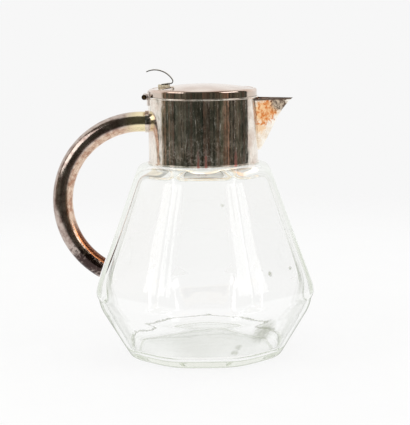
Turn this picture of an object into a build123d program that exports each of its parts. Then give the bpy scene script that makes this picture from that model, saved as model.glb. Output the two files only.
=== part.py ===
from build123d import *
import os
from math import asin, atan2, cos, degrees, radians, sin, sqrt, tan

# Orangeade jug: a faceted glass body with a silver-plated collar, V-shaped spout,
# open loop handle and hinged lid. Millimetres; the origin is the centre of the foot,
# +X points to the spout, -X to the handle and the hinge, +Z up.

# Glass body: flats face +X, -X, +Y and -Y. An apothem is the distance from the axis to a flat.
facet_count = 8
foot_apothem = 62.7
belly_apothem = 92.8
belly_height = 51.5
shoulder_height = 161.0
shoulder_ledge = 8.2
belly_bend = 34.0
shoulder_bend = 9.0
facet_edge_bend = 7.0
heel_bend = 5.0
wall_thickness = 4.6
floor_thickness = 11.5
inner_edge_bend = 12.0
inner_shoulder_bend = 14.0
floor_bend = 9.0

# The round mould parts that trim the facets into arches at the foot and at the shoulder
foot_turn_reveal = 1.8
foot_turn_angle = 49.0
shoulder_turn_reveal = 2.4
shoulder_turn_angle = 60.0
shoulder_turn_bend = 16.0
turn_reach_margin = 5.0

# Glass neck, which stands in the collar's foot, below the opening to the spout
cement_thickness = 2.3
neck_wall = 3.8
neck_height = 16.0
neck_lip_bend = 1.4
cement_drop = 1.5
opening_sill = 2.0

# Sheet metal and fits
sheet = 0.9
solder_gap = 0.08
seam_gap = 0.3
running_clearance = 0.05
swing_clearance = 0.35

# Collar
collar_radius = 45.6
collar_height = 55.4
top_bead_radius = 0.75
foot_bead_radius = 0.8
seam_height = shoulder_height + collar_height

# Spout: its top edge lies just under the collar's bead. Each point of the keel is a share of
# the spout's height and half width, and the keel's distance from the collar's wall there.
spout_drop = 2.1
spout_half_width = 16.5
spout_depth = 45.8
spout_reach = 29.2
spout_overlap = 1.8
spout_keel_foot = (0.06, 2.0)
spout_channel_foot = (0.14, 3.8)
spout_keel_low = (0.26, 7.3)
spout_keel_middle = (0.45, 11.8)
spout_keel_high = (0.74, 19.0)

# Handle: a round tube on a circular centreline, made of two half shells
handle_tube_radius = 8.35
handle_loop_radius = 66.3
handle_straight = 6.4
handle_drop = 20.7
handle_end_gap = 1.0
handle_sweep_angle = 165.0
ferrule_length = 2.4
ferrule_wall = 0.8

# Hinge: barrel along Y, outside the collar on the handle's side
hinge_pin_radius = 0.9
knuckle_radius = 2.2
hinge_standoff = 0.4
hinge_length = 22.0
centre_knuckle_length = 10.6
leaf_thickness = 0.8
collar_leaf_height = 7.0
lid_leaf_height = 4.2
pin_head_length = 0.35

# Lid
lid_step = 0.6
lid_rim_height = 6.3
lid_shoulder_bend = 2.2
flange_width = 3.3
dome_rise = 4.1
groove_depth = 0.4
skirt_depth = 4.5
skirt_thickness = 0.8

# Thumbpiece: a bent strip on a small pad. Its points are measured inwards from the lid's edge
# and up from the top of the dome.
thumb_width = 12.0
thumb_strip = 0.8
thumb_tip = (-1.2, 10.3)
thumb_top = (6.8, 11.8)
thumb_back = (16.8, 7.6)
thumb_turn = (20.4, 3.1)
thumb_fold = (17.8, 0.6)
thumb_leg_end = (11.0, -0.2)
thumb_fold_bend = 1.6
pad_length = 9.6

# Derived places
shoulder_apothem = collar_radius + shoulder_ledge
collar_bore = collar_radius - sheet
neck_radius = collar_bore - cement_thickness
neck_top = shoulder_height + neck_height
spout_top = seam_height - spout_drop
handle_axis_height = seam_height - handle_drop
handle_loop_x = -(collar_radius + handle_straight)
hinge_x = -(collar_radius + knuckle_radius + hinge_standoff)
lid_radius = collar_radius - lid_step
lid_base = seam_height + seam_gap
lid_rim_top = lid_base + lid_rim_height
dome_radius = lid_radius - flange_width
dome_edge_top = lid_rim_top - groove_depth
dome_top = dome_edge_top + dome_rise
far = 6 * belly_apothem


def faceted_block(inset, floor_height, belly_round, shoulder_round, edge_round, heel_round):
    """An eight-sided block between flats that lean in above and below the belly."""
    corners = [
        (foot_apothem, 0),
        (belly_apothem, belly_height),
        (shoulder_apothem, shoulder_height),
    ]
    mirrored = [(-x, z) for x, z in reversed(corners)]
    outline = make_face(Polyline(*corners, *mirrored, close=True))
    if inset:
        above_floor = Pos(0, floor_height) * Rectangle(far, far, align=(Align.CENTER, Align.MIN))
        outline = offset(outline, amount=-inset, kind=Kind.INTERSECTION) & above_floor
    outline = fillet(outline.vertices().group_by(Axis.X)[0], belly_round)
    outline = fillet(outline.vertices().group_by(Axis.X)[-1], belly_round)
    outline = fillet(outline.vertices().group_by(Axis.Y)[-1], shoulder_round)
    right_half = Rectangle(far, far, align=(Align.MIN, Align.CENTER))
    slab = extrude(Plane.XZ * (outline & right_half), amount=far, both=True)
    half_width = far * tan(radians(180 / facet_count))
    sector = make_face(Polyline((0, 0), (far, half_width), (far, -half_width), close=True))
    gore = slab & extrude(sector, amount=far)
    block = gore
    for turn in range(1, facet_count):
        block = block + Rot(0, 0, turn * 360 / facet_count) * gore
    rising = [edge for edge in block.edges() if abs((edge @ 0).Z - (edge @ 1).Z) > solder_gap]
    block = fillet(rising, edge_round)
    return fillet(block.faces().sort_by(Axis.Z)[0].edges(), heel_round)


def turned_trim():
    """The ring outside the round mould parts, which cuts the facets' corners to arches."""
    reach = belly_apothem / cos(radians(180 / facet_count)) + turn_reach_margin
    foot_turn = foot_apothem + foot_turn_reveal
    shoulder_turn = shoulder_apothem + shoulder_turn_reveal
    flare_height = (reach - foot_turn) * tan(radians(foot_turn_angle))
    fall_height = shoulder_height - (reach - shoulder_turn) * tan(radians(shoulder_turn_angle))
    outline = make_face(Polyline(
        (0, 0),
        (foot_turn, 0),
        (reach, flare_height),
        (reach, fall_height),
        (shoulder_turn, shoulder_height),
        (0, shoulder_height),
        close=True,
    ))
    shoulder_corner = outline.vertices().sort_by_distance((shoulder_turn, shoulder_height))[0]
    outline = fillet(shoulder_corner, shoulder_turn_bend)
    outline = fillet(outline.vertices().sort_by_distance((foot_turn, 0))[0], heel_bend)
    return disc(far, 0, shoulder_height) - revolve(Plane.XZ * outline, Axis.Z)


def disc(radius, low, high):
    return Pos(0, 0, low) * Cylinder(radius, high - low, align=(Align.CENTER, Align.CENTER, Align.MIN))


def ring(outer, inner, low, high):
    return disc(outer, low, high) - disc(inner, low, high)


def bar_along_y(radius, length, x, z):
    return Pos(x, 0, z) * Rot(90, 0, 0) * Cylinder(radius, length)


def block_between(low, high):
    size = [b - a for a, b in zip(low, high)]
    centre = [(a + b) / 2 for a, b in zip(low, high)]
    return Pos(*centre) * Box(*size)


def glass_body():
    """Pressed glass: facets outside and in, a thick floor and a round neck."""
    outside = faceted_block(0, 0, belly_bend, shoulder_bend, facet_edge_bend, heel_bend)
    inside = faceted_block(
        wall_thickness,
        floor_thickness,
        belly_bend - wall_thickness,
        inner_shoulder_bend,
        inner_edge_bend,
        floor_bend,
    )
    bore = disc(neck_radius - neck_wall, belly_height, neck_top)
    return outside - turned_trim() - inside - bore + glass_neck()


def glass_neck():
    """Round neck with a fire-polished lip, rising from inside the shoulder."""
    low = shoulder_height - wall_thickness
    size = (neck_wall, neck_top - low)
    place = Pos(neck_radius - neck_wall, low)
    wall = place * Rectangle(*size, align=(Align.MIN, Align.MIN))
    wall = fillet(wall.vertices().group_by(Axis.Y)[-1], neck_lip_bend)
    return revolve(Plane.XZ * wall, Axis.Z)


def neck_cement():
    """Plaster that holds the collar on the neck."""
    outer = collar_bore - solder_gap
    inner = neck_radius + solder_gap
    return ring(outer, inner, shoulder_height, neck_top - cement_drop)


def hinge_window(clearance):
    """The stretch of the collar's rim that the hinge leaves take up."""
    reach = hinge_length / 2 + clearance
    inner_x = -collar_radius * cos(asin(reach / collar_radius))
    low = (hinge_x - knuckle_radius - clearance, -reach, seam_height - collar_leaf_height)
    high = (inner_x + sheet, reach, seam_height + lid_rim_height)
    return block_between(low, high)


def collar_top_bead():
    """Half-round wire soldered under the seam, broken at the hinge."""
    centre = (collar_radius + solder_gap, seam_height - top_bead_radius)
    return half_round_ring(centre, top_bead_radius) - hinge_window(solder_gap)


def collar_foot_bead():
    """Rolled edge where the collar stands on the glass shoulder."""
    centre = (collar_radius + solder_gap, shoulder_height + foot_bead_radius + solder_gap)
    return half_round_ring(centre, foot_bead_radius)


def half_round_ring(centre, radius):
    section = Pos(*centre) * Circle(radius)
    outside = Pos(centre[0], centre[1]) * Rectangle(far, far, align=(Align.MIN, Align.CENTER))
    return revolve(Plane.XZ * (section & outside), Axis.Z)


def spout_section(share, keel_reach, inset):
    """One level of the beak: a V from the keel back through the collar's wall."""
    half_width = spout_half_width * share
    keel_x = collar_radius + keel_reach
    wall_x = sqrt(collar_radius**2 - half_width**2)
    slope = atan2(half_width, keel_x - wall_x)
    tip_x = keel_x - inset / sin(slope)
    back_x = collar_bore - spout_overlap - spout_half_width**2 / collar_radius
    back_half_width = (tip_x - back_x) * tan(slope)
    corners = [(tip_x, 0), (back_x, back_half_width), (back_x, -back_half_width)]
    level = spout_top - spout_depth * (1 - share)
    return Plane.XY.offset(level) * make_face(Polyline(*corners, close=True))


def spout_wedge(inset, foot):
    """The beak's outer form, or its channel when it is inset by the sheet."""
    levels = [
        foot,
        spout_keel_low,
        spout_keel_middle,
        spout_keel_high,
        (1.0, spout_reach),
    ]
    return loft([spout_section(share, keel, inset) for share, keel in levels])


def spout_channel():
    return spout_wedge(sheet, spout_channel_foot)


def collar():
    """Straight collar, open behind the beak above the glass neck."""
    tube = ring(collar_radius, collar_bore, shoulder_height, seam_height)
    window = spout_channel() & disc(far, neck_top + opening_sill, seam_height)
    return tube - window


def spout():
    """Beak folded from sheet and soldered round the collar's opening."""
    trim = disc(collar_radius + solder_gap, 0, far)
    return spout_wedge(0, spout_keel_foot) - spout_channel() - trim


def handle_rod(radius):
    """The handle's full round, with its end cut parallel to the glass."""
    start = (-collar_bore, 0, handle_axis_height)
    bend_start = (handle_loop_x, 0, handle_axis_height)
    loop_centre = (handle_loop_x, 0, handle_axis_height - handle_loop_radius)
    plane = Plane(origin=loop_centre, x_dir=(1, 0, 0), z_dir=(0, -1, 0))
    straight = Line(start, bend_start)
    loop = CenterArc((0, 0), handle_loop_radius, 90, handle_sweep_angle)
    path = Wire([straight, plane * loop])
    section = Plane(origin=start, x_dir=(0, 1, 0), z_dir=(-1, 0, 0)) * Circle(radius)
    return sweep(section, path=path)


def beyond_handle_end(setback):
    """The space on the glass's side of the handle's end, parallel to the leaning flat."""
    lean = atan2(belly_apothem - shoulder_apothem, shoulder_height - belly_height)
    level = handle_axis_height - handle_loop_radius
    flat_x = belly_apothem - (level - belly_height) * tan(lean)
    block = Box(far, far, far, align=(Align.MIN, Align.CENTER, Align.MAX))
    place = Pos(-flat_x, 0, level) * Rot(0, degrees(lean), 0)
    return place * Pos(-setback, 0, 0) * block


def handle_shell(side):
    """One stamped half of the handle: side -1 is the front, +1 the back."""
    tube = handle_rod(handle_tube_radius) - handle_rod(handle_tube_radius - sheet)
    tube = tube - beyond_handle_end(handle_end_gap + sheet)
    tube = tube - disc(collar_radius + solder_gap, 0, far)
    seam = solder_gap / 2
    half = Box(far, far, far, align=(Align.CENTER, Align.MIN, Align.CENTER))
    keep = Pos(0, seam, 0) * half
    return tube & (keep if side > 0 else Rot(0, 0, 180) * keep)


def handle_end_cap():
    """Flat plate that closes the free end of the tube."""
    rod = handle_rod(handle_tube_radius)
    return (rod & beyond_handle_end(handle_end_gap + sheet)) - beyond_handle_end(handle_end_gap)


def handle_ferrule():
    """Short sleeve round the handle where it is soldered to the collar."""
    low_x = -(collar_radius + ferrule_length)
    length = 2 * ferrule_length
    tube = Cylinder(handle_tube_radius + solder_gap + ferrule_wall, length)
    tube = tube - Cylinder(handle_tube_radius + solder_gap, length)
    placed = Pos(low_x + ferrule_length, 0, handle_axis_height) * Rot(0, 90, 0) * tube
    return placed - disc(collar_radius + solder_gap, 0, far)


def leaf(inner, low, high):
    """A strip of sheet bent round the collar or the lid, as wide as the hinge."""
    band = ring(inner + solder_gap + leaf_thickness, inner + solder_gap, low, high)
    width = block_between((-far, -hinge_length / 2, low), (0, hinge_length / 2, high))
    return band & width


def pin_bore():
    return bar_along_y(hinge_pin_radius + running_clearance, far, hinge_x, seam_height)


def collar_hinge():
    """Fixed leaf with the two outer knuckles."""
    plate = leaf(collar_radius, seam_height - collar_leaf_height, seam_height - seam_gap)
    web = block_between(
        (hinge_x, -hinge_length / 2, seam_height - knuckle_radius),
        (-collar_radius - solder_gap - leaf_thickness / 2, hinge_length / 2, seam_height - seam_gap),
    )
    trim = disc(collar_radius + solder_gap, 0, far)
    barrel = bar_along_y(knuckle_radius, hinge_length, hinge_x, seam_height)
    gap = bar_along_y(
        knuckle_radius + swing_clearance,
        centre_knuckle_length + 2 * swing_clearance,
        hinge_x,
        seam_height,
    )
    return plate + (web - trim) + barrel - gap - pin_bore()


def lid_hinge():
    """Moving leaf with the centre knuckle."""
    plate = leaf(lid_radius, lid_base + seam_gap, lid_base + lid_leaf_height)
    half_length = centre_knuckle_length / 2
    web = block_between(
        (hinge_x, -half_length, seam_height),
        (-lid_radius - solder_gap - leaf_thickness / 2, half_length, seam_height + knuckle_radius),
    )
    trim = disc(lid_radius + solder_gap, 0, far)
    barrel = bar_along_y(knuckle_radius, centre_knuckle_length, hinge_x, seam_height)
    return (plate - outer_knuckle_room()) + (web - trim) + barrel - pin_bore()


def outer_knuckle_room():
    """The space round the two outer knuckles, which the lid's leaf swings past."""
    length = (hinge_length - centre_knuckle_length) / 2 + sheet
    middle = (centre_knuckle_length + length) / 2
    bar = bar_along_y(knuckle_radius + swing_clearance, length, hinge_x, seam_height)
    return Pos(0, middle, 0) * bar + Pos(0, -middle, 0) * bar


def hinge_pin():
    return bar_along_y(hinge_pin_radius, hinge_length + 2 * pin_head_length, hinge_x, seam_height)


def lid_rim():
    """Band with a rounded shoulder and a flat flange that carries the dome."""
    inner = dome_radius + solder_gap
    band = make_face(Polyline((inner, lid_base), (lid_radius, lid_base),
                              (lid_radius, lid_rim_top), (inner, lid_rim_top), close=True))
    band = fillet(band.vertices().group_by(Axis.X)[-1].sort_by(Axis.Y)[-1], lid_shoulder_bend)
    hollow = make_face(Polyline((inner - sheet, lid_base - sheet), (lid_radius - sheet, lid_base - sheet),
                                (lid_radius - sheet, lid_rim_top - sheet),
                                (inner - sheet, lid_rim_top - sheet), close=True))
    inner_bend = lid_shoulder_bend - sheet
    hollow = fillet(hollow.vertices().group_by(Axis.X)[-1].sort_by(Axis.Y)[-1], inner_bend)
    return revolve(Plane.XZ * (band - hollow), Axis.Z)


def dome_ball_radius():
    return (dome_radius**2 + dome_rise**2) / (2 * dome_rise)


def dome_cap(inset):
    """Ball-shaped cap above the dome's edge, moved inwards by the sheet."""
    ball = dome_ball_radius()
    return Pos(0, 0, dome_top - ball) * Sphere(ball - inset)


def lid_dome():
    """Shallow dome let into the rim's flange."""
    plug = disc(dome_radius, dome_edge_top - sheet, far)
    return (dome_cap(0) - dome_cap(sheet)) & plug


def lid_inner_skirt():
    """Ring that centres the lid in the collar's mouth."""
    outer = lid_radius - sheet - solder_gap
    flat_top = lid_rim_top - lid_shoulder_bend
    return ring(outer, outer - skirt_thickness, seam_height - skirt_depth, flat_top)


def on_lid(point):
    """A thumbpiece point in the jug's own X and Z."""
    return (point[0] - lid_radius, point[1] + dome_top)


def thumbpiece():
    """Strip bent into a curl that opens towards the handle."""
    curl = Spline(*[on_lid(point) for point in (thumb_turn, thumb_back, thumb_top, thumb_tip)])
    fold = ThreePointArc(on_lid(thumb_turn), on_lid(midway_fold()), on_lid(thumb_fold))
    leg = Line(on_lid(thumb_fold), on_lid(thumb_leg_end))
    path = Plane.XZ * Wire([leg, fold, curl])
    start = path @ 0
    section = Plane(origin=start, x_dir=(0, 1, 0), z_dir=path % 0) * Rectangle(thumb_width, thumb_strip)
    return sweep(section, path=path)


def midway_fold():
    """The outermost point of the fold between the leg and the curl."""
    middle_x = (thumb_turn[0] + thumb_fold[0]) / 2
    middle_z = (thumb_turn[1] + thumb_fold[1]) / 2
    return (middle_x + thumb_fold_bend / 2, middle_z - thumb_fold_bend / 2)


def thumbpiece_foot():
    """Pad soldered between the strip's leg and the dome."""
    right = on_lid(thumb_fold)[0]
    leg_under = on_lid(thumb_leg_end)[1] - thumb_strip / 2
    half_width = thumb_width / 2
    block = block_between(
        (right - pad_length, -half_width, dome_edge_top), (right, half_width, leg_under)
    )
    return block - dome_cap(-solder_gap)


nodes = {
    "glass_body": glass_body,
    "neck_cement": neck_cement,
    "collar": collar,
    "collar_top_bead": collar_top_bead,
    "collar_foot_bead": collar_foot_bead,
    "spout": spout,
    "handle_shell_front": lambda: handle_shell(-1),
    "handle_shell_back": lambda: handle_shell(1),
    "handle_end_cap": handle_end_cap,
    "handle_ferrule": handle_ferrule,
    "collar_hinge": collar_hinge,
    "hinge_pin": hinge_pin,
    "lid_hinge": lid_hinge,
    "lid_rim": lid_rim,
    "lid_dome": lid_dome,
    "lid_inner_skirt": lid_inner_skirt,
    "thumbpiece": thumbpiece,
    "thumbpiece_foot": thumbpiece_foot,
}

os.makedirs("parts", exist_ok=True)
for name, make in nodes.items():
    part = make()
    part.label = name
    export_step(part, f"parts/{name}.step")
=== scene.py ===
import bpy
from math import cos, pi, radians, sin, sqrt, tan
from mathutils import Matrix, Vector, noise


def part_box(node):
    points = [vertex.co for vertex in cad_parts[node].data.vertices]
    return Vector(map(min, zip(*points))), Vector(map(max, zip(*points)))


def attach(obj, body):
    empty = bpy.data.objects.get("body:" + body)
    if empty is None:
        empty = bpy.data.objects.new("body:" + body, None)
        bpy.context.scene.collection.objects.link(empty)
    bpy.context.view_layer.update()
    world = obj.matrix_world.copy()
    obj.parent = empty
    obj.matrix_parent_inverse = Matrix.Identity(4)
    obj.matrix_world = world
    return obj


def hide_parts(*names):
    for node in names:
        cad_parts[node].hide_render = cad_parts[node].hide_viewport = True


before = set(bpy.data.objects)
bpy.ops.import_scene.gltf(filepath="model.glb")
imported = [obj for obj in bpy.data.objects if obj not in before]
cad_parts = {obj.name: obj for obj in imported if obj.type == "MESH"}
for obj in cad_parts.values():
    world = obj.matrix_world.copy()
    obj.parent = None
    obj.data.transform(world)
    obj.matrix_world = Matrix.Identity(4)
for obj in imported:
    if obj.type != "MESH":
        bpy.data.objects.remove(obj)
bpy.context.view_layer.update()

# Glass body. Pressed clear soda-lime glass in eight leaning facets, trimmed round at the foot
# and the shoulder by the turned parts of its mould, with a round neck. The plunger left soft
# inner facets, a flat floor, and a chilled, wrinkled line round it.
mm = 0.001
facets = 8
foot_apothem = 62.7 * mm
belly_apothem = 92.7 * mm
belly_height = 51.5 * mm
shoulder_apothem = 53.8 * mm
shoulder_height = 161.0 * mm
neck_radius = 42.4 * mm
neck_bore = 38.6 * mm
neck_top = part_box("glass_body")[1].z
wall = 4.6 * mm
floor_thickness = 6.5 * mm
foot_hollow = 0.9 * mm
# Each turned part of the mould is a cone: its radius, how far it leans from level, its bend
foot_turn = 64.5 * mm
foot_lean = radians(49)
foot_bend = 5.0 * mm
shoulder_turn = 56.2 * mm
shoulder_lean = radians(60)
shoulder_bend = 16.0 * mm
# How softly the facets end in their arches, and how far they take to die away into the neck
arch_edge = 1.4 * mm
neck_fade_outside = 8 * mm
neck_fade_inside = 6 * mm
# The wrinkle is on the inner wall below this height, and further out than this reach
wrinkle_top = 24 * mm
wrinkle_reach = 55 * mm


def inset_corner(before, corner, after, depth):
    """Where the two edges that meet at a corner cross once both are moved inwards."""
    first = (Vector(corner) - Vector(before)).normalized()
    second = (Vector(after) - Vector(corner)).normalized()
    left_first = Vector((-first.y, first.x))
    left_second = Vector((-second.y, second.x))
    return Vector(corner) + depth * (left_first + left_second) / (1 + left_first.dot(left_second))


def bent_line(corners, bends, step):
    """Points along a line whose corners are rounded by arcs of the given radii. They are a step
    apart on the arcs, and 2.5 steps apart on the straight runs."""
    points = [Vector(corners[0])]
    for before, corner, after, bend in zip(corners, corners[1:], corners[2:], bends):
        start = (Vector(before) - Vector(corner)).normalized()
        end = (Vector(after) - Vector(corner)).normalized()
        half = start.angle(end) / 2
        reach = bend / tan(half)
        centre = Vector(corner) + (start + end).normalized() * bend / sin(half)
        turn = pi - 2 * half
        count = max(4, round(turn * bend / step))
        first = Vector(corner) + start * reach - centre
        side = 1 if first.cross(Vector(corner) + end * reach - centre) > 0 else -1
        for i in range(count + 1):
            angle = side * turn * i / count
            across = first.x * cos(angle) - first.y * sin(angle)
            up = first.x * sin(angle) + first.y * cos(angle)
            points.append(centre + Vector((across, up)))
    points.append(Vector(corners[-1]))
    filled = [points[0]]
    for a, b in zip(points, points[1:]):
        pieces = max(1, round((b - a).length / (2.5 * step)))
        filled += [a.lerp(b, i / pieces) for i in range(1, pieces + 1)]
    return filled


def turned_limit(height):
    """Radius of the round mould parts, which trim the facets into arches."""
    if height < foot_bend * (1 - cos(foot_lean)):
        start = foot_turn - foot_bend * tan(foot_lean / 2)
        foot = start + sqrt(max(0, foot_bend**2 - (foot_bend - height) ** 2))
    else:
        foot = foot_turn + height / tan(foot_lean)
    drop = shoulder_height - height
    if drop < shoulder_bend * (1 - cos(shoulder_lean)):
        start = shoulder_turn - shoulder_bend * tan(shoulder_lean / 2)
        shoulder = start + sqrt(max(0, shoulder_bend**2 - (shoulder_bend - drop) ** 2))
    else:
        shoulder = shoulder_turn + drop / tan(shoulder_lean)
    return min(foot, shoulder)


def soft_least(a, b, blend):
    """The lesser of two sizes, rounded off where they are nearly equal."""
    overlap = max(blend - abs(a - b), 0)
    return min(a, b) - overlap**2 / (4 * blend)


def smooth_step(value, low, high):
    share = min(1, max(0, (value - low) / (high - low)))
    return share * share * (3 - 2 * share)


def facet_reach(angle, sharpness):
    """Distance to the side of an eight-sided outline of apothem 1, with soft corners."""
    total = sum(max(0, cos(angle - 2 * pi * k / facets)) ** sharpness for k in range(facets))
    return total ** (-1 / sharpness)


def facet_angles():
    """Directions round the body, closest together at the corners between the flats."""
    near_corner = [radians(apart) for apart in (0.13, 0.4, 0.7, 1.0, 1.4, 1.85, 2.4, 3.1, 4.0)]
    flat = 2 * pi / facets - 2 * near_corner[-1]
    flat_steps = 30
    angles = []
    for k in range(facets):
        corner = (k + 0.5) * 2 * pi / facets
        angles += [corner - apart for apart in reversed(near_corner)]
        angles += [corner + apart for apart in near_corner]
        angles += [corner + near_corner[-1] + flat * i / flat_steps for i in range(1, flat_steps)]
    return angles


def glass_profile():
    """The body's cut edge from the middle of its foot, over the lip, to the middle of its floor."""
    step = 1.1 * mm
    foot = (foot_apothem, 0)
    belly = (belly_apothem, belly_height)
    shoulder = (shoulder_apothem, shoulder_height)
    # Only a ring round the foot stands on the table. The second list has the corners' radii.
    outside = bent_line(
        [(0, foot_hollow), (foot_apothem - 9 * mm, foot_hollow), (foot_apothem - 7.5 * mm, 0), foot,
         belly, shoulder, (neck_radius, shoulder_height), (neck_radius, neck_top),
         (neck_bore, neck_top)],
        [3 * mm, 3 * mm, 5 * mm, 34 * mm, 9 * mm, 1.0 * mm, 1.4 * mm], step)
    inner_belly = inset_corner(foot, belly, shoulder, wall)
    inner_shoulder = inset_corner(belly, shoulder, (0, shoulder_height), wall)
    inner_foot = inset_corner((0, 0), foot, belly, wall)
    rise = (floor_thickness - inner_foot.y) / (inner_belly.y - inner_foot.y)
    floor_corner = inner_foot.lerp(inner_belly, rise)
    inside = bent_line(
        [(neck_bore, neck_top), (neck_bore, inner_shoulder.y), inner_shoulder, inner_belly,
         floor_corner, (0, floor_thickness)],
        [3 * mm, 14 * mm, 29.4 * mm, 9 * mm], step)
    # The lip is rounded by fire, and has points of its own
    lip_foot = neck_top - 3 * mm
    lip = bent_line(
        [(neck_radius, lip_foot), (neck_radius, neck_top), (neck_bore, neck_top),
         (neck_bore, lip_foot)],
        [1.4 * mm, 1.4 * mm], 0.5 * mm)
    outside = [p for p in outside if p.y < lip_foot]
    inside = [p for p in inside if p.y < lip_foot or p.x < neck_bore - 1 * mm]
    # The wrinkle round the inner floor needs points four times as close together
    fine = [inside[0]]
    for before, after in zip(inside, inside[1:]):
        pieces = 4 if after.y < wrinkle_top and after.x > wrinkle_reach else 1
        fine += [before.lerp(after, i / pieces) for i in range(1, pieces + 1)]
    return [(p, "out") for p in outside] + [(p, "lip") for p in lip] + [(p, "in") for p in fine]


def chill_ridge(height, angle):
    """The wrinkle where hot glass met the cold plunger: a small ridge, higher at the back."""
    middle, tilt, jag, half_width, ridge = 8.6 * mm, 4.9 * mm, 0.6 * mm, 1.9 * mm, 0.6 * mm
    # Its jags are about 4 mm apart round the floor
    jagged = noise.noise(Vector((14 * cos(angle), 14 * sin(angle), 9.0)))
    line = middle + tilt * sin(angle) + jag * jagged
    return ridge * max(0, 1 - abs(height - line) / half_width) ** 2


def glass_point(apothem, height, angle, side):
    """One point of the body: faceted where the mould is faceted, round at the neck."""
    # How sharp the corners between the flats are: 16 is soft, and 160 is crisp
    soft, crisp, plunger = 16, 160, 14
    facet_share = 1
    if side == "out":
        # Below the belly the mould's corners die away towards the round foot
        up = smooth_step(height, 49 * mm, 62 * mm)
        sharpness = soft * (crisp / soft) ** up
        if height > shoulder_height - 1 * mm:
            facet_share = min(1, max(0, (apothem - neck_radius) / neck_fade_outside))
    else:
        # Above the belly the plunger's corners are softest, but less so towards spout and handle
        up = smooth_step(height, 54 * mm, 76 * mm)
        sharpness = soft * (plunger / soft * 3 ** (cos(angle) ** 2)) ** up
        if height > belly_height:
            facet_share = min(1, max(0, (apothem - neck_bore) / neck_fade_inside))
    if side == "lip":
        facet_share = 0
    radius = apothem * (1 - facet_share + facet_share * facet_reach(angle, sharpness))
    if side == "out" and facet_share > 0:
        radius = soft_least(radius, turned_limit(height), arch_edge)
    if side == "in":
        # The inner face drifts by up to 0.7 mm, in waves about 45 mm long
        drift = noise.noise(Vector((2.2 * cos(angle), 2.2 * sin(angle), height / (45 * mm))))
        radius += 0.7 * mm * drift * facet_share * min(1, apothem / (20 * mm))
        if height < wrinkle_top and apothem > wrinkle_reach:
            ridge = chill_ridge(height, angle)
            radius -= ridge
            height += ridge
    return (radius * cos(angle), radius * sin(angle), height)


def glass_mesh():
    profile = glass_profile()
    angles = facet_angles()
    count = len(angles)
    rings = profile[1:-1]
    vertices = [glass_point(p.x, p.y, angle, side) for p, side in rings for angle in angles]
    faces = []
    for ring in range(len(rings) - 1):
        for i in range(count):
            a = ring * count + i
            b = ring * count + (i + 1) % count
            faces.append((a, b, b + count, a + count))
    # The foot and the floor close on the jug's axis, each with its face outwards
    for end, ring, order in ((profile[0], 0, -1), (profile[-1], len(rings) - 1, 1)):
        middle = len(vertices)
        vertices.append((0, 0, end[0].y))
        for i in range(count):
            fan = (middle, ring * count + i, ring * count + (i + 1) % count)
            faces.append(fan[::order])
    return vertices, faces


def linear(hex_colour):
    """An sRGB hex value as the linear colour that a socket takes."""
    parts = [int(hex_colour[i:i + 2], 16) / 255 for i in (1, 3, 5)]
    return [v / 12.92 if v <= 0.04045 else ((v + 0.055) / 1.055) ** 2.4 for v in parts] + [1.0]


def put(tree, kind, inputs=None, **settings):
    """Adds a node. An input is a value, or a node or socket to link from."""
    made = tree.nodes.new(kind)
    for name, value in settings.items():
        setattr(made, name, value)
    for name, value in (inputs or {}).items():
        if isinstance(value, bpy.types.Node):
            value = value.outputs[0]
        if isinstance(value, bpy.types.NodeSocket):
            tree.links.new(value, made.inputs[name])
        else:
            made.inputs[name].default_value = value
    return made


def blend_of(tree, share, low_colour, high_colour, low=0.0, high=1.0):
    """One colour below the low share, the other above the high one, soft between. Each is a
    hex value or the output of a node."""
    soft = put(tree, "ShaderNodeMapRange", {
        "Value": share, "From Min": low, "From Max": high,
    }, interpolation_type="SMOOTHSTEP")
    ends = [linear(end) if isinstance(end, str) else end for end in (low_colour, high_colour)]
    mixed = put(tree, "ShaderNodeMix", {0: soft, 6: ends[0], 7: ends[1]}, data_type="RGBA")
    return mixed.outputs[2]


def share_near(tree, place, spot, reach, ragged=None):
    """1 at a spot, falling to 0 at the given reach from it, both in millimetres. A noise of
    about 0.5 may be added, which tears the edge of a mark."""
    away = put(tree, "ShaderNodeVectorMath", {
        0: place, 1: Vector(spot) * mm,
    }, operation="DISTANCE")
    near = put(tree, "ShaderNodeMapRange", {
        "Value": away.outputs["Value"], "From Max": reach * mm, "To Min": 1.0, "To Max": 0.0,
    })
    if ragged is None:
        return near
    return put(tree, "ShaderNodeMath", {0: near, 1: ragged}, operation="ADD")


def new_finish(name):
    material = bpy.data.materials.new(name)
    material.use_nodes = True
    material.node_tree.nodes.clear()
    return material


def dried_marks(tree, place):
    """How much of the glass dried drink hides: two specks above the belly and one high on the
    middle flat, a slanted smear by the foot and a cloudy patch under the belly."""
    ragged = put(tree, "ShaderNodeTexNoise", {
        "Vector": place, "Scale": 1 / (2.5 * mm), "Detail": 4.0,
    })
    hidden = 0.0
    # Each mark's place and reach in millimetres, and how much of the glass it hides at most
    for spot, reach, most in (
        ((52, -66, 78), 3.6, 0.6),
        ((69, -48, 79), 2.6, 0.5),
        ((14.5, -63.5, 133), 2.6, 0.4),
        ((23, -70, 14.5), 5.0, 0.4),
        ((26, -71.5, 20), 5.0, 0.4),
        ((47, -66, 31), 18.0, 0.36),
    ):
        near = share_near(tree, place, spot, reach)
        near = put(tree, "ShaderNodeMath", {0: near, 1: ragged}, operation="MULTIPLY")
        mark = put(tree, "ShaderNodeMapRange", {
            "Value": near, "From Min": 0.12, "From Max": 0.42, "To Max": most,
        })
        hidden = put(tree, "ShaderNodeMath", {0: hidden, 1: mark}, operation="MAXIMUM")
    return hidden


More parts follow.
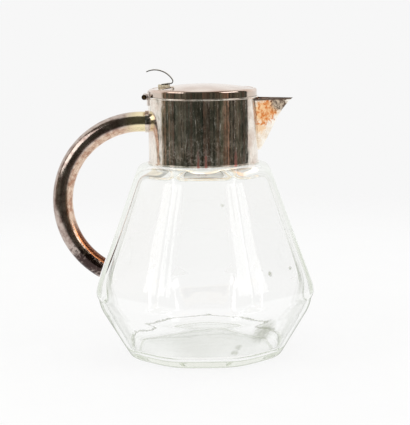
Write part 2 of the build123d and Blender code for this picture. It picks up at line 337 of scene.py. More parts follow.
def painted_wrinkle_line(tree, place, height):
    """How much of the glass is hidden by a painted line of shade along the wrinkle round the inner
    floor, drawn with the dried-drink film as a jagged line 1 mm wide that is higher at the back."""
    line_height, line_slope, line_jags = 5.6 * mm, 0.075, 6.0 * mm
    back = put(tree, "ShaderNodeSeparateXYZ", {0: place}).outputs["Y"]
    tilted = put(tree, "ShaderNodeMath", {
        0: back, 1: line_slope, 2: line_height,
    }, operation="MULTIPLY_ADD")
    jagged = put(tree, "ShaderNodeTexNoise", {
        "Vector": place, "Scale": 1 / (7 * mm), "Detail": 3.0, "Roughness": 0.7,
    })
    line = put(tree, "ShaderNodeMath", {
        0: jagged, 1: line_jags, 2: tilted,
    }, operation="MULTIPLY_ADD")
    off_line = put(tree, "ShaderNodeMath", {0: height, 1: line}, operation="SUBTRACT")
    off_line = put(tree, "ShaderNodeMath", {0: off_line}, operation="ABSOLUTE")
    film = put(tree, "ShaderNodeMapRange", {
        "Value": off_line, "From Min": 0.45 * mm, "From Max": 1.0 * mm, "To Min": 0.5,
        "To Max": 0.0,
    })
    # It is on the inner face alone: the wall leans out by 0.584 mm for each millimetre up, and
    # between its faces, carried down to the foot, is a radius of 61.2 mm
    wall_lean, between_faces = 0.584, 61.2 * mm
    flat = put(tree, "ShaderNodeVectorMath", {0: place, 1: (1, 1, 0)}, operation="MULTIPLY")
    from_axis = put(tree, "ShaderNodeVectorMath", {0: flat}, operation="LENGTH").outputs["Value"]
    at_foot = put(tree, "ShaderNodeMath", {
        0: height, 1: -wall_lean, 2: from_axis,
    }, operation="MULTIPLY_ADD")
    inside = put(tree, "ShaderNodeMath", {0: at_foot, 1: between_faces}, operation="LESS_THAN")
    # The floor itself stays clear
    above_floor = put(tree, "ShaderNodeMath", {
        0: height, 1: floor_thickness + 1.2 * mm,
    }, operation="GREATER_THAN")
    film = put(tree, "ShaderNodeMath", {0: film, 1: inside}, operation="MULTIPLY")
    return put(tree, "ShaderNodeMath", {0: film, 1: above_floor}, operation="MULTIPLY")


def painted_dark_outline(tree, facing, within, turns, height):
    """How much painted grey shade covers the wall: most where it is seen edge on, most of all low
    down, and in a thin line where it starts to reflect within."""
    edge_on = put(tree, "ShaderNodeMapRange", {
        "Value": facing, "From Min": 0.72, "From Max": 0.9, "To Max": 0.75,
    })
    strong = put(tree, "ShaderNodeMapRange", {
        "Value": height, "From Min": 55 * mm, "From Max": 95 * mm, "To Min": 1.0, "To Max": 0.3,
    })
    outer = put(tree, "ShaderNodeMath", {0: edge_on, 1: strong}, operation="MULTIPLY")
    # Within glass of IOR 1.5 all light is mirrored from a Facing of 0.255 on. The line is just
    # past that, and is drawn only for the first four turns of a ray.
    line_middle, half_width, line_share, last_turn = 0.264, 0.005, 0.65, 4.5
    starting = put(tree, "ShaderNodeMath", {
        0: facing, 1: line_middle, 2: half_width,
    }, operation="COMPARE")
    early = put(tree, "ShaderNodeMath", {0: turns, 1: last_turn}, operation="LESS_THAN")
    inner = put(tree, "ShaderNodeMath", {0: starting, 1: early}, operation="MULTIPLY")
    inner = put(tree, "ShaderNodeMath", {0: inner, 1: line_share}, operation="MULTIPLY")
    return put(tree, "ShaderNodeMix", {0: within, 2: outer, 3: inner})


def painted_glow_share(tree, facing, within, turns, height):
    """How much of the wall shows a painted pale glow, standing in for light caught between the
    wall's two faces after so many turns that it comes out soft and pale."""
    most_turns = put(tree, "ShaderNodeMapRange", {
        "Value": height, "From Min": 44 * mm, "From Max": 60 * mm, "To Min": 5.5, "To Max": 7.5,
    })
    caught = put(tree, "ShaderNodeMath", {0: turns, 1: most_turns}, operation="GREATER_THAN")
    # Above the belly, seen from within, the inner face also gets a painted white glow, standing in
    # for the white room it mirrors, which hides what is dark
    past_the_line = 0.27
    mirrored = put(tree, "ShaderNodeMath", {
        0: facing, 1: past_the_line,
    }, operation="GREATER_THAN")
    mirrored = put(tree, "ShaderNodeMath", {0: mirrored, 1: within}, operation="MULTIPLY")
    painted_white_share = put(tree, "ShaderNodeMapRange", {
        "Value": height, "From Min": 90 * mm, "From Max": 110 * mm, "To Max": 0.45,
    })
    mirrored = put(tree, "ShaderNodeMath", {0: mirrored, 1: painted_white_share}, operation="MULTIPLY")
    return put(tree, "ShaderNodeMath", {0: caught, 1: mirrored}, operation="MAXIMUM")


def clear_pressed_glass():
    """Soda-lime glass, fire polished: clear, faintly green-grey where it is deep, slightly wavy,
    with a painted grey outline and a painted pale glow.
    """
    material = new_finish("clear_pressed_glass")
    tree = material.node_tree
    place = put(tree, "ShaderNodeTexCoord").outputs["Object"]
    height = put(tree, "ShaderNodeSeparateXYZ", {0: place}).outputs["Z"]
    # The waves that the mould leaves are about 25 mm apart
    waves = put(tree, "ShaderNodeTexNoise", {
        "Vector": place, "Scale": 1 / (25 * mm), "Detail": 1.0,
    })
    wavy = put(tree, "ShaderNodeBump", {"Height": waves, "Strength": 0.12, "Distance": 1.0 * mm})
    clear = put(tree, "ShaderNodeBsdfPrincipled", {
        "Base Color": linear("#FFFFFF"),
        "Roughness": 0.0,
        "IOR": 1.5,
        "Transmission Weight": 1.0,
        "Normal": wavy,
    })
    # The film of dried drink is thin, so it lights up from both sides. It draws the dried marks,
    # and also the painted line of shade along the wrinkle
    drink_and_painted_line_tone = linear("#B4BA9E")
    lit_face = put(tree, "ShaderNodeBsdfDiffuse", {"Color": drink_and_painted_line_tone, "Roughness": 1.0})
    lit_through = put(tree, "ShaderNodeBsdfTranslucent", {"Color": drink_and_painted_line_tone})
    film = put(tree, "ShaderNodeMixShader", {0: 0.5, 1: lit_face, 2: lit_through})
    marks = dried_marks(tree, place)
    # Painted shade: a grey line along the wrinkle, drawn with the film of dried drink
    painted_line_share = painted_wrinkle_line(tree, place, height)
    hidden = put(tree, "ShaderNodeMath", {0: marks, 1: painted_line_share}, operation="MAXIMUM")
    marked = put(tree, "ShaderNodeMixShader", {0: hidden, 1: clear, 2: film})
    # Painted light and shade for what a thick wall does to light by turning it many times: a
    # painted grey outline, and a painted pale glow
    facing = put(tree, "ShaderNodeLayerWeight", {"Blend": 0.5}).outputs["Facing"]
    within = put(tree, "ShaderNodeNewGeometry").outputs["Backfacing"]
    turns = put(tree, "ShaderNodeLightPath").outputs["Ray Depth"]
    painted_shade_tone = blend_of(tree, height, "#A9AEA2", "#D5D8CF", 60 * mm, 100 * mm)
    # Painted shade: the grey is an emission drawn along the wall's edges
    grey = put(tree, "ShaderNodeEmission", {"Color": painted_shade_tone, "Strength": 1.0})
    painted_outline_share = painted_dark_outline(tree, facing, within, turns, height)
    with_painted_outline = put(tree, "ShaderNodeMixShader", {0: painted_outline_share, 1: marked, 2: grey})
    painted_glow_tone = blend_of(tree, height, "#DCE0D6", "#F4F6F2", 20 * mm, 80 * mm)
    # Painted light: the glow is an emission standing in for light caught in the wall
    glow = put(tree, "ShaderNodeEmission", {"Color": painted_glow_tone, "Strength": 1.0})
    caught = painted_glow_share(tree, facing, within, turns, height)
    surface = put(tree, "ShaderNodeMixShader", {0: caught, 1: with_painted_outline, 2: glow})
    depth = put(tree, "ShaderNodeVolumeAbsorption", {"Color": linear("#E3E7DA"), "Density": 5.0})
    put(tree, "ShaderNodeOutputMaterial", {"Surface": surface, "Volume": depth})
    return material


glass_vertices, glass_faces = glass_mesh()
glass_shape = bpy.data.meshes.new("pressed_glass_body")
glass_shape.from_pydata(glass_vertices, [], glass_faces)
glass_shape.polygons.foreach_set("use_smooth", [True] * len(glass_shape.polygons))
glass_shape.materials.append(clear_pressed_glass())
glass = bpy.data.objects.new("pressed_glass_body", glass_shape)
bpy.context.scene.collection.objects.link(glass)
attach(glass, "jug")
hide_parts("glass_body")


# Neck plaster. The collar is set on the glass neck with plaster, poured in wet and hidden
# by the metal, but seen from below through the shoulder as a cream ring.
def set_plaster():
    """Plaster, cast: matte cream with darker damp marks, and a painted glow."""
    material = new_finish("set_plaster")
    tree = material.node_tree
    place = put(tree, "ShaderNodeTexCoord").outputs["Object"]
    # Damp marks are about 9 mm wide
    marks = put(tree, "ShaderNodeTexNoise", {
        "Vector": place, "Scale": 1 / (9 * mm), "Detail": 4.0,
    })
    tint = blend_of(tree, marks, "#EBDDC6", "#FCF8F0", 0.35, 0.6)
    # Painted light: it glows a little, standing in for the light that soaks into it through the
    # glass neck
    surface = put(tree, "ShaderNodeBsdfPrincipled", {
        "Base Color": tint,
        "Roughness": 0.9,
        "Emission Color": tint,
        "Emission Strength": 0.5,
    })
    put(tree, "ShaderNodeOutputMaterial", {"Surface": surface})
    return material


def dress(material, *names):
    """Gives carried-over nodes their finish."""
    for name in names:
        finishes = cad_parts[name].data.materials
        finishes.clear()
        finishes.append(material)


dress(set_plaster(), "neck_cement")


# Collar. A straight tube of silver-plated sheet that stands on the glass shoulder, with
# a half-round wire soldered round its top and a rolled edge round its foot.
def plated_surface(tree, place, tint, smoothest, roughest, metal=1.0):
    """Silver plate: a buffed mirror with dull spots, upright scratches and shallow dents."""
    # Dull spots are about 2 mm wide
    spots = put(tree, "ShaderNodeTexNoise", {
        "Vector": place, "Scale": 1 / (2 * mm), "Detail": 4.0, "Roughness": 0.65,
    })
    # Scratches are finer than the picture shows, so they are drawn 0.8 mm apart
    upright = put(tree, "ShaderNodeMapping", {"Vector": place, "Scale": (1, 1, 0.05)})
    scratches = put(tree, "ShaderNodeTexNoise", {
        "Vector": upright, "Scale": 1 / (0.8 * mm), "Detail": 3.0,
    })
    worst = put(tree, "ShaderNodeMath", {0: spots, 1: scratches}, operation="MAXIMUM")
    shine = put(tree, "ShaderNodeMapRange", {
        "Value": worst, "From Min": 0.52, "From Max": 0.72, "To Min": smoothest,
        "To Max": roughest,
    })
    scratched = put(tree, "ShaderNodeBump", {
        "Height": scratches, "Strength": 0.1, "Distance": 0.1 * mm,
    })
    # The sheet is uneven by a few hundredths of a millimetre over about 9 mm
    dents = put(tree, "ShaderNodeTexNoise", {
        "Vector": place, "Scale": 1 / (9 * mm), "Detail": 2.0,
    })
    dented = put(tree, "ShaderNodeBump", {
        "Height": dents, "Strength": 0.5, "Distance": 0.2 * mm, "Normal": scratched,
    })
    surface = put(tree, "ShaderNodeBsdfPrincipled", {
        "Base Color": tint,
        "Metallic": metal,
        "Roughness": shine,
        "Normal": dented,
    })
    put(tree, "ShaderNodeOutputMaterial", {"Surface": surface})


def splash_rims(tree, place):
    """Dried splashes leave curly pale rims 0.3 mm wide, most of them low down."""
    splashes = put(tree, "ShaderNodeTexNoise", {
        "Vector": place, "Scale": 1 / (4 * mm), "Detail": 2.0,
    })
    off_rim = put(tree, "ShaderNodeMath", {0: splashes, 1: 0.5}, operation="SUBTRACT")
    off_rim = put(tree, "ShaderNodeMath", {0: off_rim}, operation="ABSOLUTE")
    on_rim = put(tree, "ShaderNodeMapRange", {
        "Value": off_rim, "From Max": 0.03, "To Min": 1.0, "To Max": 0.0,
    })
    height = put(tree, "ShaderNodeSeparateXYZ", {0: place}).outputs["Z"]
    low = put(tree, "ShaderNodeMapRange", {
        "Value": height, "From Min": 168 * mm, "From Max": 188 * mm, "To Min": 0.4,
        "To Max": 0.05,
    })
    return put(tree, "ShaderNodeMath", {0: on_rim, 1: low}, operation="MULTIPLY")


def wipe_marks(tree, place):
    """Dried polish is left in upright wipe marks 1.2 mm apart."""
    drawn = put(tree, "ShaderNodeMapping", {"Vector": place, "Scale": (1, 1, 0.07)})
    wipes = put(tree, "ShaderNodeTexNoise", {
        "Vector": drawn, "Scale": 1 / (1.2 * mm), "Detail": 4.0, "Roughness": 0.7,
    })
    return put(tree, "ShaderNodeMapRange", {"Value": wipes, "From Min": 0.6, "From Max": 0.76})


def collar_silver_plate():
    """Silver plate, buffed: mirror bright, with a faint pink bloom and rusty runs low down."""
    material = new_finish("collar_silver_plate")
    tree = material.node_tree
    place = put(tree, "ShaderNodeTexCoord").outputs["Object"]
    # The bloom lies in clouds about 15 mm wide, with specks of 1.5 mm
    clouds = put(tree, "ShaderNodeTexNoise", {
        "Vector": place, "Scale": 1 / (15 * mm), "Detail": 4.0,
    })
    bloom = blend_of(tree, clouds, "#F4ECE2", "#DCCBBE", 0.42, 0.68)
    # In upright patches about 6 mm wide the plate turns olive-grey, more of them within 33 mm of
    # the middle, front and back, and fewer from 41 mm out
    tall = put(tree, "ShaderNodeMapping", {"Vector": place, "Scale": (1, 1, 0.5)})
    patches = put(tree, "ShaderNodeTexNoise", {
        "Vector": tall, "Scale": 1 / (6 * mm), "Detail": 5.0, "Roughness": 0.6,
    })
    across = put(tree, "ShaderNodeSeparateXYZ", {0: place}).outputs["X"]
    off_middle = put(tree, "ShaderNodeMath", {0: across}, operation="ABSOLUTE")
    broad = put(tree, "ShaderNodeMapRange", {
        "Value": off_middle, "From Min": 33 * mm, "From Max": 41 * mm, "To Min": 0.2,
        "To Max": 0.0,
    })
    thick = put(tree, "ShaderNodeMath", {0: broad, 1: patches}, operation="ADD")
    bloom = blend_of(tree, thick, bloom, "#8B8C80", 0.5, 0.95)
    specks = put(tree, "ShaderNodeTexNoise", {
        "Vector": place, "Scale": 1 / (1.5 * mm), "Detail": 4.0, "Roughness": 0.7,
    })
    tint = blend_of(tree, specks, bloom, "#AD8F7B", 0.57, 0.72)
    # Three rusty runs, 1.5 mm wide, reach 20 mm up from the foot, on both sides. They and the
    # dried polish are matte, so the metal shows less there.
    squat = put(tree, "ShaderNodeVectorMath", {0: place, 1: (1, 0, 0.1)}, operation="MULTIPLY")
    run_foot, run_reach = 16.2, 2.4
    dusty = [splash_rims(tree, place), wipe_marks(tree, place)]
    for run in (-4.2, 2.0, 26.0):
        ragged = share_near(tree, squat, (run, 0, run_foot), run_reach, specks)
        tint = blend_of(tree, ragged, tint, "#BC8075", 0.8, 1.3)
        dusty.append(put(tree, "ShaderNodeMapRange", {
            "Value": ragged, "From Min": 0.8, "From Max": 1.3, "To Max": 0.5,
        }))
    most = 0.0
    for share in dusty:
        most = put(tree, "ShaderNodeMath", {0: most, 1: share}, operation="MAXIMUM")
    bare = put(tree, "ShaderNodeMapRange", {"Value": most, "To Min": 1.0, "To Max": 0.35})
    plated_surface(tree, place, tint, 0.05, 0.3, bare)
    return material


collar_plate = collar_silver_plate()
dress(collar_plate, "collar", "collar_top_bead", "collar_foot_bead")


# Spout. A beak folded from the same sheet and soldered round the collar's opening, stained
# orange and brown where drink has dried on its sides.
def stained_silver_plate():
    """Silver plate, satin from handling: cream, with an orange stain and painted shade along the
    upper edge.
    """
    material = new_finish("stained_silver_plate")
    tree = material.node_tree
    place = put(tree, "ShaderNodeTexCoord").outputs["Object"]
    # The stains leave out the depth, so both sides of the spout are marked alike
    side = put(tree, "ShaderNodeVectorMath", {0: place, 1: (1, 0, 1)}, operation="MULTIPLY")
    # They dried in scales about 3 mm wide, over clouds of 8 mm
    scales = put(tree, "ShaderNodeTexNoise", {
        "Vector": place, "Scale": 1 / (3 * mm), "Detail": 5.0, "Roughness": 0.7,
    })
    clouds = put(tree, "ShaderNodeTexNoise", {
        "Vector": place, "Scale": 1 / (8 * mm), "Detail": 4.0,
    })
    tint = blend_of(tree, clouds, "#FFFAF0", "#F0DCC4", 0.42, 0.7)
    orange = blend_of(tree, scales, "#FCD3A2", "#D97A30", 0.38, 0.64)
    sooty = blend_of(tree, scales, "#C9B7A2", "#5A4A3F", 0.4, 0.58)
    # A blush low down, orange at the joint and along the middle, and smoke towards the tip
    for spot, reach, stain, low, high in (
        ((47.5, 0, 190.0), 12.0, "#F6D4AE", 0.95, 1.3),
        ((49.5, 0, 203.0), 19.0, orange, 0.88, 1.1),
        ((57.5, 0, 207.0), 13.0, orange, 0.9, 1.15),
        ((63.0, 0, 210.5), 13.0, sooty, 0.8, 1.15),
    ):
        near = share_near(tree, side, spot, reach, scales)
        tint = blend_of(tree, near, tint, stain, low, high)
    height = put(tree, "ShaderNodeSeparateXYZ", {0: place}).outputs["Z"]
    # Painted shade: above 212.2 mm the upper edge turns dark brown-grey, for the shade inside the
    # spout seen over its rim
    tint = blend_of(tree, height, tint, "#5E5046", 212.2 * mm, 213.4 * mm)
    plated_surface(tree, place, tint, 0.16, 0.36)
    return material


dress(stained_silver_plate(), "spout")


# Handle. A tube of two stamped half shells, bent to most of a circle and soldered into a
# short ferrule on the collar; its free end is closed by a flat plate and clears the glass.
# The middle line of the tube is a circle: its centre and its radius
handle_centre = (-52.0 * mm, 0, 129.4 * mm)
handle_loop = 66.3 * mm


def handle_silver_plate():
    """Silver plate worn by the hand: pinkish outside, fawn and dull inside the loop."""
    material = new_finish("handle_silver_plate")
    tree = material.node_tree
    place = put(tree, "ShaderNodeTexCoord").outputs["Object"]
    side = put(tree, "ShaderNodeVectorMath", {0: place, 1: (1, 0, 1)}, operation="MULTIPLY")
    away = put(tree, "ShaderNodeVectorMath", {
        0: side, 1: handle_centre,
    }, operation="DISTANCE").outputs["Value"]
    # Worn patches are about 6 mm wide
    patches = put(tree, "ShaderNodeTexNoise", {
        "Vector": place, "Scale": 1 / (6 * mm), "Detail": 5.0, "Roughness": 0.6,
    })
    outside = blend_of(tree, patches, "#C4B5AC", "#97827A", 0.38, 0.66)
    inside = blend_of(tree, patches, "#E6CCB8", "#B98F78", 0.4, 0.68)
    tint = blend_of(tree, away, inside, outside, handle_loop - 4.5 * mm, handle_loop - 1.5 * mm)
    # The end at the collar kept its polish, and yellowed
    kept = share_near(tree, side, (-50.0, 0, 196.0), 26.0)
    tint = blend_of(tree, kept, tint, "#F4E6BE", 0.3, 0.8)
    # The free end is mottled grey and purple, in patches about 2.5 mm wide
    mottle = put(tree, "ShaderNodeTexNoise", {
        "Vector": place, "Scale": 1 / (2.5 * mm), "Detail": 6.0, "Roughness": 0.75,
    })
    low = share_near(tree, side, (-98.0, 0, 78.0), 46.0)
    spotted = put(tree, "ShaderNodeMath", {0: mottle, 1: low}, operation="MULTIPLY")
    tint = blend_of(tree, spotted, tint, "#443735", 0.27, 0.43)
    # Towards the free end the inside is brown, with a thin orange line along it
    inner = put(tree, "ShaderNodeMapRange", {
        "Value": away, "From Min": handle_loop - 6.4 * mm, "From Max": handle_loop - 5.2 * mm,
        "To Min": 1.0, "To Max": 0.0,
    })
    inner_low = put(tree, "ShaderNodeMath", {0: inner, 1: low}, operation="MULTIPLY")
    tint = blend_of(tree, inner_low, tint, "#7B4C36", 0.1, 0.45)
    line_reach = handle_loop - 5.6 * mm
    off_line = put(tree, "ShaderNodeMath", {0: away, 1: line_reach}, operation="SUBTRACT")
    off_line = put(tree, "ShaderNodeMath", {0: off_line}, operation="ABSOLUTE")
    on_line = put(tree, "ShaderNodeMapRange", {
        "Value": off_line, "From Min": 0.2 * mm, "From Max": 0.7 * mm, "To Min": 1.0,
        "To Max": 0.0,
    })
    line_low = put(tree, "ShaderNodeMath", {0: on_line, 1: low}, operation="MULTIPLY")
    tint = blend_of(tree, line_low, tint, "#D48B5E", 0.1, 0.4)
    plated_surface(tree, place, tint, 0.13, 0.26)
    return material


dress(handle_silver_plate(), "handle_shell_front", "handle_shell_back", "handle_end_cap")
dress(collar_plate, "handle_ferrule")


# Hinge. Two leaves of sheet with rolled knuckles, soldered to the collar and to the lid's
# rim, that turn on a drawn brass pin.
hinge_axis = (-48.2 * mm, 0, 216.4 * mm)
knuckle_radius = 1.9 * mm
leaf_start = 2.3 * mm


def hinge_silver_plate():
    """Silver plate: leaves pale with dried polish, brown-black where none reaches the knuckles."""
    material = new_finish("hinge_silver_plate")
    tree = material.node_tree
    place = put(tree, "ShaderNodeTexCoord").outputs["Object"]
    side = put(tree, "ShaderNodeVectorMath", {0: place, 1: (1, 0, 1)}, operation="MULTIPLY")
    away = put(tree, "ShaderNodeVectorMath", {
        0: side, 1: hinge_axis,
    }, operation="DISTANCE").outputs["Value"]
    # Grime lies in spots about 2 mm wide
    grime = put(tree, "ShaderNodeTexNoise", {
        "Vector": place, "Scale": 1 / (2 * mm), "Detail": 3.0,
    })
    dirty = blend_of(tree, grime, "#4A3C31", "#8B7A6A", 0.4, 0.7)
    tint = blend_of(tree, away, dirty, "#E9DED6", knuckle_radius, leaf_start)
    bare = put(tree, "ShaderNodeMapRange", {
        "Value": away, "From Min": knuckle_radius, "From Max": leaf_start, "To Min": 1.0,
        "To Max": 0.35,
    })
    plated_surface(tree, place, tint, 0.4, 0.6, bare)
    return material


def drawn_brass():
    """Brass wire, drawn: dull yellow-brown with dark grease along it."""
    material = new_finish("drawn_brass")
    tree = material.node_tree
    place = put(tree, "ShaderNodeTexCoord").outputs["Object"]
    # Smears of grease are about 1.5 mm wide
    grease = put(tree, "ShaderNodeTexNoise", {
        "Vector": place, "Scale": 1 / (1.5 * mm), "Detail": 2.0,
    })
    tint = blend_of(tree, grease, "#5A4A30", "#A98C57", 0.4, 0.65)
    plated_surface(tree, place, tint, 0.25, 0.4)
    return material


dress(hinge_silver_plate(), "collar_hinge", "lid_hinge")
dress(drawn_brass(), "hinge_pin")


# Lid. A spun rim with a rounded shoulder, a shallow dome let into it, and a skirt inside
# that centres the lid in the collar's mouth.
def lid_silver_plate():
    """Silver plate, spun and buffed: pale, with a soft pink and fawn bloom, and painted shade on
    the rim below its shoulder.
    """
    material = new_finish("lid_silver_plate")
    tree = material.node_tree
    place = put(tree, "ShaderNodeTexCoord").outputs["Object"]
    # The bloom lies in clouds about 22 mm wide
    bloom = put(tree, "ShaderNodeTexNoise", {
        "Vector": place, "Scale": 1 / (22 * mm), "Detail": 4.0,
    })
    tint = blend_of(tree, bloom, "#E9D8CC", "#D0B7A8", 0.35, 0.7)
    # Painted shade: below its shoulder the rim is a browner, more even tone, which darkens what it
    # mirrors there
    height = put(tree, "ShaderNodeSeparateXYZ", {0: place}).outputs["Z"]
    tint = blend_of(tree, height, "#D2C2B5", tint, 220.0 * mm, 221.2 * mm)
    plated_surface(tree, place, tint, 0.07, 0.2)
    return material


dress(lid_silver_plate(), "lid_rim", "lid_dome", "lid_inner_skirt")


# Thumbpiece. A strip of plated brass bent into a curl, which lifts the lid. It is soldered to
# a small pad on the lid, whose solder has spread over it.
def thumbpiece_silver_plate():
    """Silver plate over brass, rubbed through by the thumb: yellowish, with brown patches."""
    material = new_finish("thumbpiece_silver_plate")
    tree = material.node_tree
    place = put(tree, "ShaderNodeTexCoord").outputs["Object"]
    # Rubbed patches are about 4 mm wide
    bloom = put(tree, "ShaderNodeTexNoise", {
        "Vector": place, "Scale": 1 / (4 * mm), "Detail": 4.0,
    })
    tint = blend_of(tree, bloom, "#E3D9C4", "#A8967A", 0.4, 0.65)
    plated_surface(tree, place, tint, 0.12, 0.25)
    return material


def dull_solder():
    """Tin solder, oxidised: pale yellow-grey and matte, with a grain of small beads."""
    material = new_finish("dull_solder")
    tree = material.node_tree
    place = put(tree, "ShaderNodeTexCoord").outputs["Object"]
    # The beads are about 0.8 mm wide
    beads = put(tree, "ShaderNodeTexNoise", {
        "Vector": place, "Scale": 1 / (0.8 * mm), "Detail": 3.0,
    })
    tint = blend_of(tree, beads, "#C9BB9B", "#EFE6CF", 0.35, 0.6)
    grain = put(tree, "ShaderNodeBump", {"Height": beads, "Strength": 0.4, "Distance": 0.2 * mm})
    surface = put(tree, "ShaderNodeBsdfPrincipled", {
        "Base Color": tint,
        "Metallic": 0.3,
        "Roughness": 0.6,
        "Normal": grain,
    })
    put(tree, "ShaderNodeOutputMaterial", {"Surface": surface})
    return material


dress(thumbpiece_silver_plate(), "thumbpiece")
dress(dull_solder(), "thumbpiece_foot")


# Floor. A round sheet of white card that fades out at its edge, into the white behind. It
# isn't part of the jug, and keeps its soft shadow.
card_radius = 1.2
card_sides = 64
card_fade_from, card_fade_to = 0.5, 1.1


def white_card():
    """White card: matte, and as white as the background to the eye, with a faint shadow."""
    material = new_finish("white_card")
    tree = material.node_tree
    place = put(tree, "ShaderNodeTexCoord").outputs["Object"]
    # To the eye, in metal and through glass, most of it is as white as it is written
    eye_share = 0.86
    ray = put(tree, "ShaderNodeLightPath").outputs
    seen = put(tree, "ShaderNodeMath", {
        0: ray["Is Camera Ray"], 1: ray["Is Glossy Ray"],
    }, operation="MAXIMUM")
    seen = put(tree, "ShaderNodeMath", {
        0: seen, 1: ray["Is Transmission Ray"],
    }, operation="MAXIMUM")
    share = put(tree, "ShaderNodeMath", {0: seen, 1: eye_share}, operation="MULTIPLY")
    # The card's tone wanders a little over about 60 mm
    grain = put(tree, "ShaderNodeTexNoise", {
        "Vector": place, "Scale": 1 / (60 * mm), "Detail": 3.0,
    })
    tone = put(tree, "ShaderNodeMapRange", {"Value": grain, "To Min": 0.975, "To Max": 0.995})
    card = put(tree, "ShaderNodeBsdfDiffuse", {"Color": linear("#F4F4F2")})
    glow = put(tree, "ShaderNodeEmission", {"Color": tone, "Strength": 1.0})
    both = put(tree, "ShaderNodeMixShader", {0: share, 1: card, 2: glow})
    # In front of the jug it ends 2.2 times as close, which is why the metal looks dark there
    nearer = put(tree, "ShaderNodeVectorMath", {0: place, 1: (1, -2.2, 1)}, operation="MULTIPLY")
    nearer = put(tree, "ShaderNodeVectorMath", {0: nearer}, operation="LENGTH").outputs["Value"]
    away = put(tree, "ShaderNodeVectorMath", {0: place}, operation="LENGTH").outputs["Value"]
    back = put(tree, "ShaderNodeSeparateXYZ", {0: place}).outputs["Y"]
    in_front = put(tree, "ShaderNodeMath", {0: back, 1: 0.0}, operation="LESS_THAN")
    reach = put(tree, "ShaderNodeMix", {0: in_front, 2: away, 3: nearer})
    fade = put(tree, "ShaderNodeMapRange", {
        "Value": reach, "From Min": card_fade_from, "From Max": card_fade_to,
    }, interpolation_type="SMOOTHSTEP")
    nothing = put(tree, "ShaderNodeBsdfTransparent")
    faded = put(tree, "ShaderNodeMixShader", {0: fade, 1: both, 2: nothing})
    put(tree, "ShaderNodeOutputMaterial", {"Surface": faded})
    return material


card_angles = [2 * pi * i / card_sides for i in range(card_sides)]
card_edge = [(card_radius * cos(angle), card_radius * sin(angle), 0) for angle in card_angles]
card_shape = bpy.data.meshes.new("floor_card")
card_shape.from_pydata(card_edge, [], [tuple(range(card_sides))])
card_shape.materials.append(white_card())
floor = bpy.data.objects.new("floor_card", card_shape)
bpy.context.scene.collection.objects.link(floor)


# Studio. White all round to the eye; the metal also mirrors the dim room behind the camera,
# with its upright streaks, under a pale ceiling.
def dim_room(tree, azimuth):
    """The room behind the camera, as polished metal mirrors it."""
    room_left, room_right = -100, 112
    across = put(tree, "ShaderNodeMapRange", {
        "Value": azimuth, "From Min": radians(room_left), "From Max": radians(room_right),
    })
    # Its big shapes, from left to right: each is an azimuth in degrees and a colour
    shapes = put(tree, "ShaderNodeValToRGB", {"Fac": across})
    stops = shapes.color_ramp.elements
    for spot, colour in (
        (-95, "#857F70"), (-75, "#625E56"), (-40, "#5C5B55"), (-18, "#3C3D37"), (12, "#524E48"),
        (34, "#4E4C44"), (49, "#857668"), (60, "#54504A"), (76, "#605C53"), (104, "#4E4C48"),
    ):
        stops.new((spot - room_left) / (room_right - room_left)).color = linear(colour)
    stops.remove(stops[0])
    stops.remove(stops[-1])
    # Narrow upright things in it, 4 degrees wide, are dark or light
    narrow = put(tree, "ShaderNodeTexNoise", {
        "W": azimuth, "Scale": 1 / radians(4), "Detail": 3.0, "Roughness": 0.7,
    }, noise_dimensions="1D")
    brightness = put(tree, "ShaderNodeMapRange", {
        "Value": narrow, "From Min": 0.37, "From Max": 0.67, "To Min": 0.25, "To Max": 2.6,
    })
    # Over 7 degrees it turns greener or redder
    hues = put(tree, "ShaderNodeTexNoise", {
        "W": azimuth, "Scale": 1 / radians(7), "Detail": 2.0,
    }, noise_dimensions="1D")
    cast = blend_of(tree, hues, "#B4DCD0", "#F2BEB0", 0.36, 0.66)
    tinted = put(tree, "ShaderNodeMix", {
        0: 0.6, 6: shapes.outputs["Color"], 7: cast,
    }, data_type="RGBA", blend_type="MULTIPLY").outputs[2]
    return put(tree, "ShaderNodeVectorMath", {0: tinted, "Scale": brightness}, operation="SCALE")


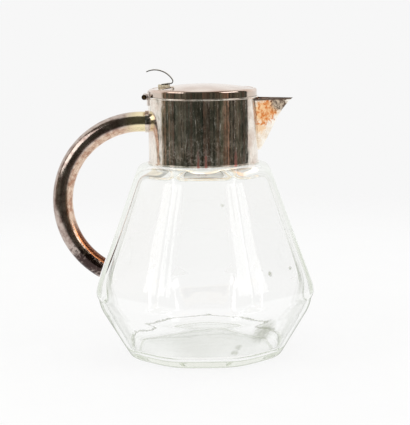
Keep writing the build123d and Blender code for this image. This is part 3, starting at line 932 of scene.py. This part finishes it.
def studio_world():
    """White paper for the eye and through glass, and for metal the dim room as well."""
    world = bpy.data.worlds.new("studio")
    world.use_nodes = True
    tree = world.node_tree
    tree.nodes.clear()
    way = put(tree, "ShaderNodeTexCoord").outputs["Generated"]
    parts = put(tree, "ShaderNodeSeparateXYZ", {0: way}).outputs
    front = put(tree, "ShaderNodeMath", {0: parts["Y"], 1: -1.0}, operation="MULTIPLY")
    azimuth = put(tree, "ShaderNodeMath", {0: parts["X"], 1: front}, operation="ARCTAN2")
    # The room lies within 102 degrees of a line 6 degrees to the right, and up to the ceiling
    off_centre = put(tree, "ShaderNodeMath", {0: azimuth, 1: radians(-6.0)}, operation="ADD")
    off_centre = put(tree, "ShaderNodeMath", {0: off_centre}, operation="ABSOLUTE")
    beside = put(tree, "ShaderNodeMapRange", {
        "Value": off_centre, "From Min": radians(101.0), "From Max": radians(103.0),
    }, interpolation_type="SMOOTHSTEP")
    above = put(tree, "ShaderNodeMapRange", {
        "Value": parts["Z"], "From Min": sin(radians(62)), "From Max": sin(radians(76)),
    }, interpolation_type="SMOOTHSTEP")
    open_white = put(tree, "ShaderNodeMath", {0: beside, 1: above}, operation="MAXIMUM")
    mirrored = put(tree, "ShaderNodeMix", {
        0: open_white, 6: dim_room(tree, azimuth), 7: linear("#F9F9F8"),
    }, data_type="RGBA").outputs[2]
    # To the camera the paper behind is a little whiter low down, where the floor is
    down = put(tree, "ShaderNodeMapRange", {
        "Value": parts["Z"], "From Min": -sin(radians(9)), "From Max": -sin(radians(16)),
    })
    paper = blend_of(tree, down, "#F7F7F7", "#FBFBFB")
    ray = put(tree, "ShaderNodeLightPath").outputs
    colour = linear("#F2F2F2")
    for kind, shown in (
        ("Is Camera Ray", paper),
        ("Is Glossy Ray", mirrored),
        ("Is Transmission Ray", linear("#FBFBFA")),
    ):
        colour = put(tree, "ShaderNodeMix", {
            0: ray[kind], 6: colour, 7: shown,
        }, data_type="RGBA").outputs[2]
    light = put(tree, "ShaderNodeBackground", {"Color": colour, "Strength": 1.0})
    put(tree, "ShaderNodeOutputWorld", {"Surface": light})
    return world


bpy.context.scene.world = studio_world()
# Light between the two faces of a glass wall needs many turns to come out
wall_turns = 24
bpy.context.scene.cycles.max_bounces = wall_turns
bpy.context.scene.cycles.glossy_bounces = wall_turns
bpy.context.scene.cycles.transmission_bounces = wall_turns


# Two soft boxes beside the camera. They stand higher than the collar mirrors, and show in the
# lid's rolled rim, along the handle and down the glass facets.
box_width, box_height = 1.0, 0.8
box_watts = 5.0
box_distance = 1.5
box_aside = radians(62.0)
box_rise = radians(27.0)
lit_middle = Vector((0, 0, 0.15))
for side in (-1, 1):
    lamp = bpy.data.lights.new("soft_box", "AREA")
    lamp.shape = "RECTANGLE"
    lamp.size = box_width
    lamp.size_y = box_height
    lamp.energy = box_watts
    soft_box = bpy.data.objects.new("soft_box", lamp)
    bpy.context.scene.collection.objects.link(soft_box)
    aside = side * box_aside
    away = Vector((sin(aside) * cos(box_rise), -cos(aside) * cos(box_rise), sin(box_rise)))
    soft_box.location = lit_middle + box_distance * away
    soft_box.rotation_euler = (-away).to_track_quat("-Z", "Y").to_euler()


# Camera. It stands 1.16 m in front of the jug's axis, a little higher than the thumbpiece, and
# is rolled by 0.7 degrees as the photograph was.
camera_place = Vector((0.0007, -1.160, 0.2835))
looked_at = Vector((0.0007, 0.0, 0.1186))
roll = Matrix.Rotation(radians(-0.7), 4, "Z")
camera_data = bpy.data.cameras.new("camera")
camera_data.lens = 118.15
camera = bpy.data.objects.new("camera", camera_data)
bpy.context.scene.collection.objects.link(camera)
camera.location = camera_place
turn = (looked_at - camera_place).to_track_quat("-Z", "Y").to_matrix().to_4x4()
camera.rotation_euler = (turn @ roll).to_euler()
bpy.context.scene.camera = camera
bpy.context.scene.view_settings.view_transform = "Standard"
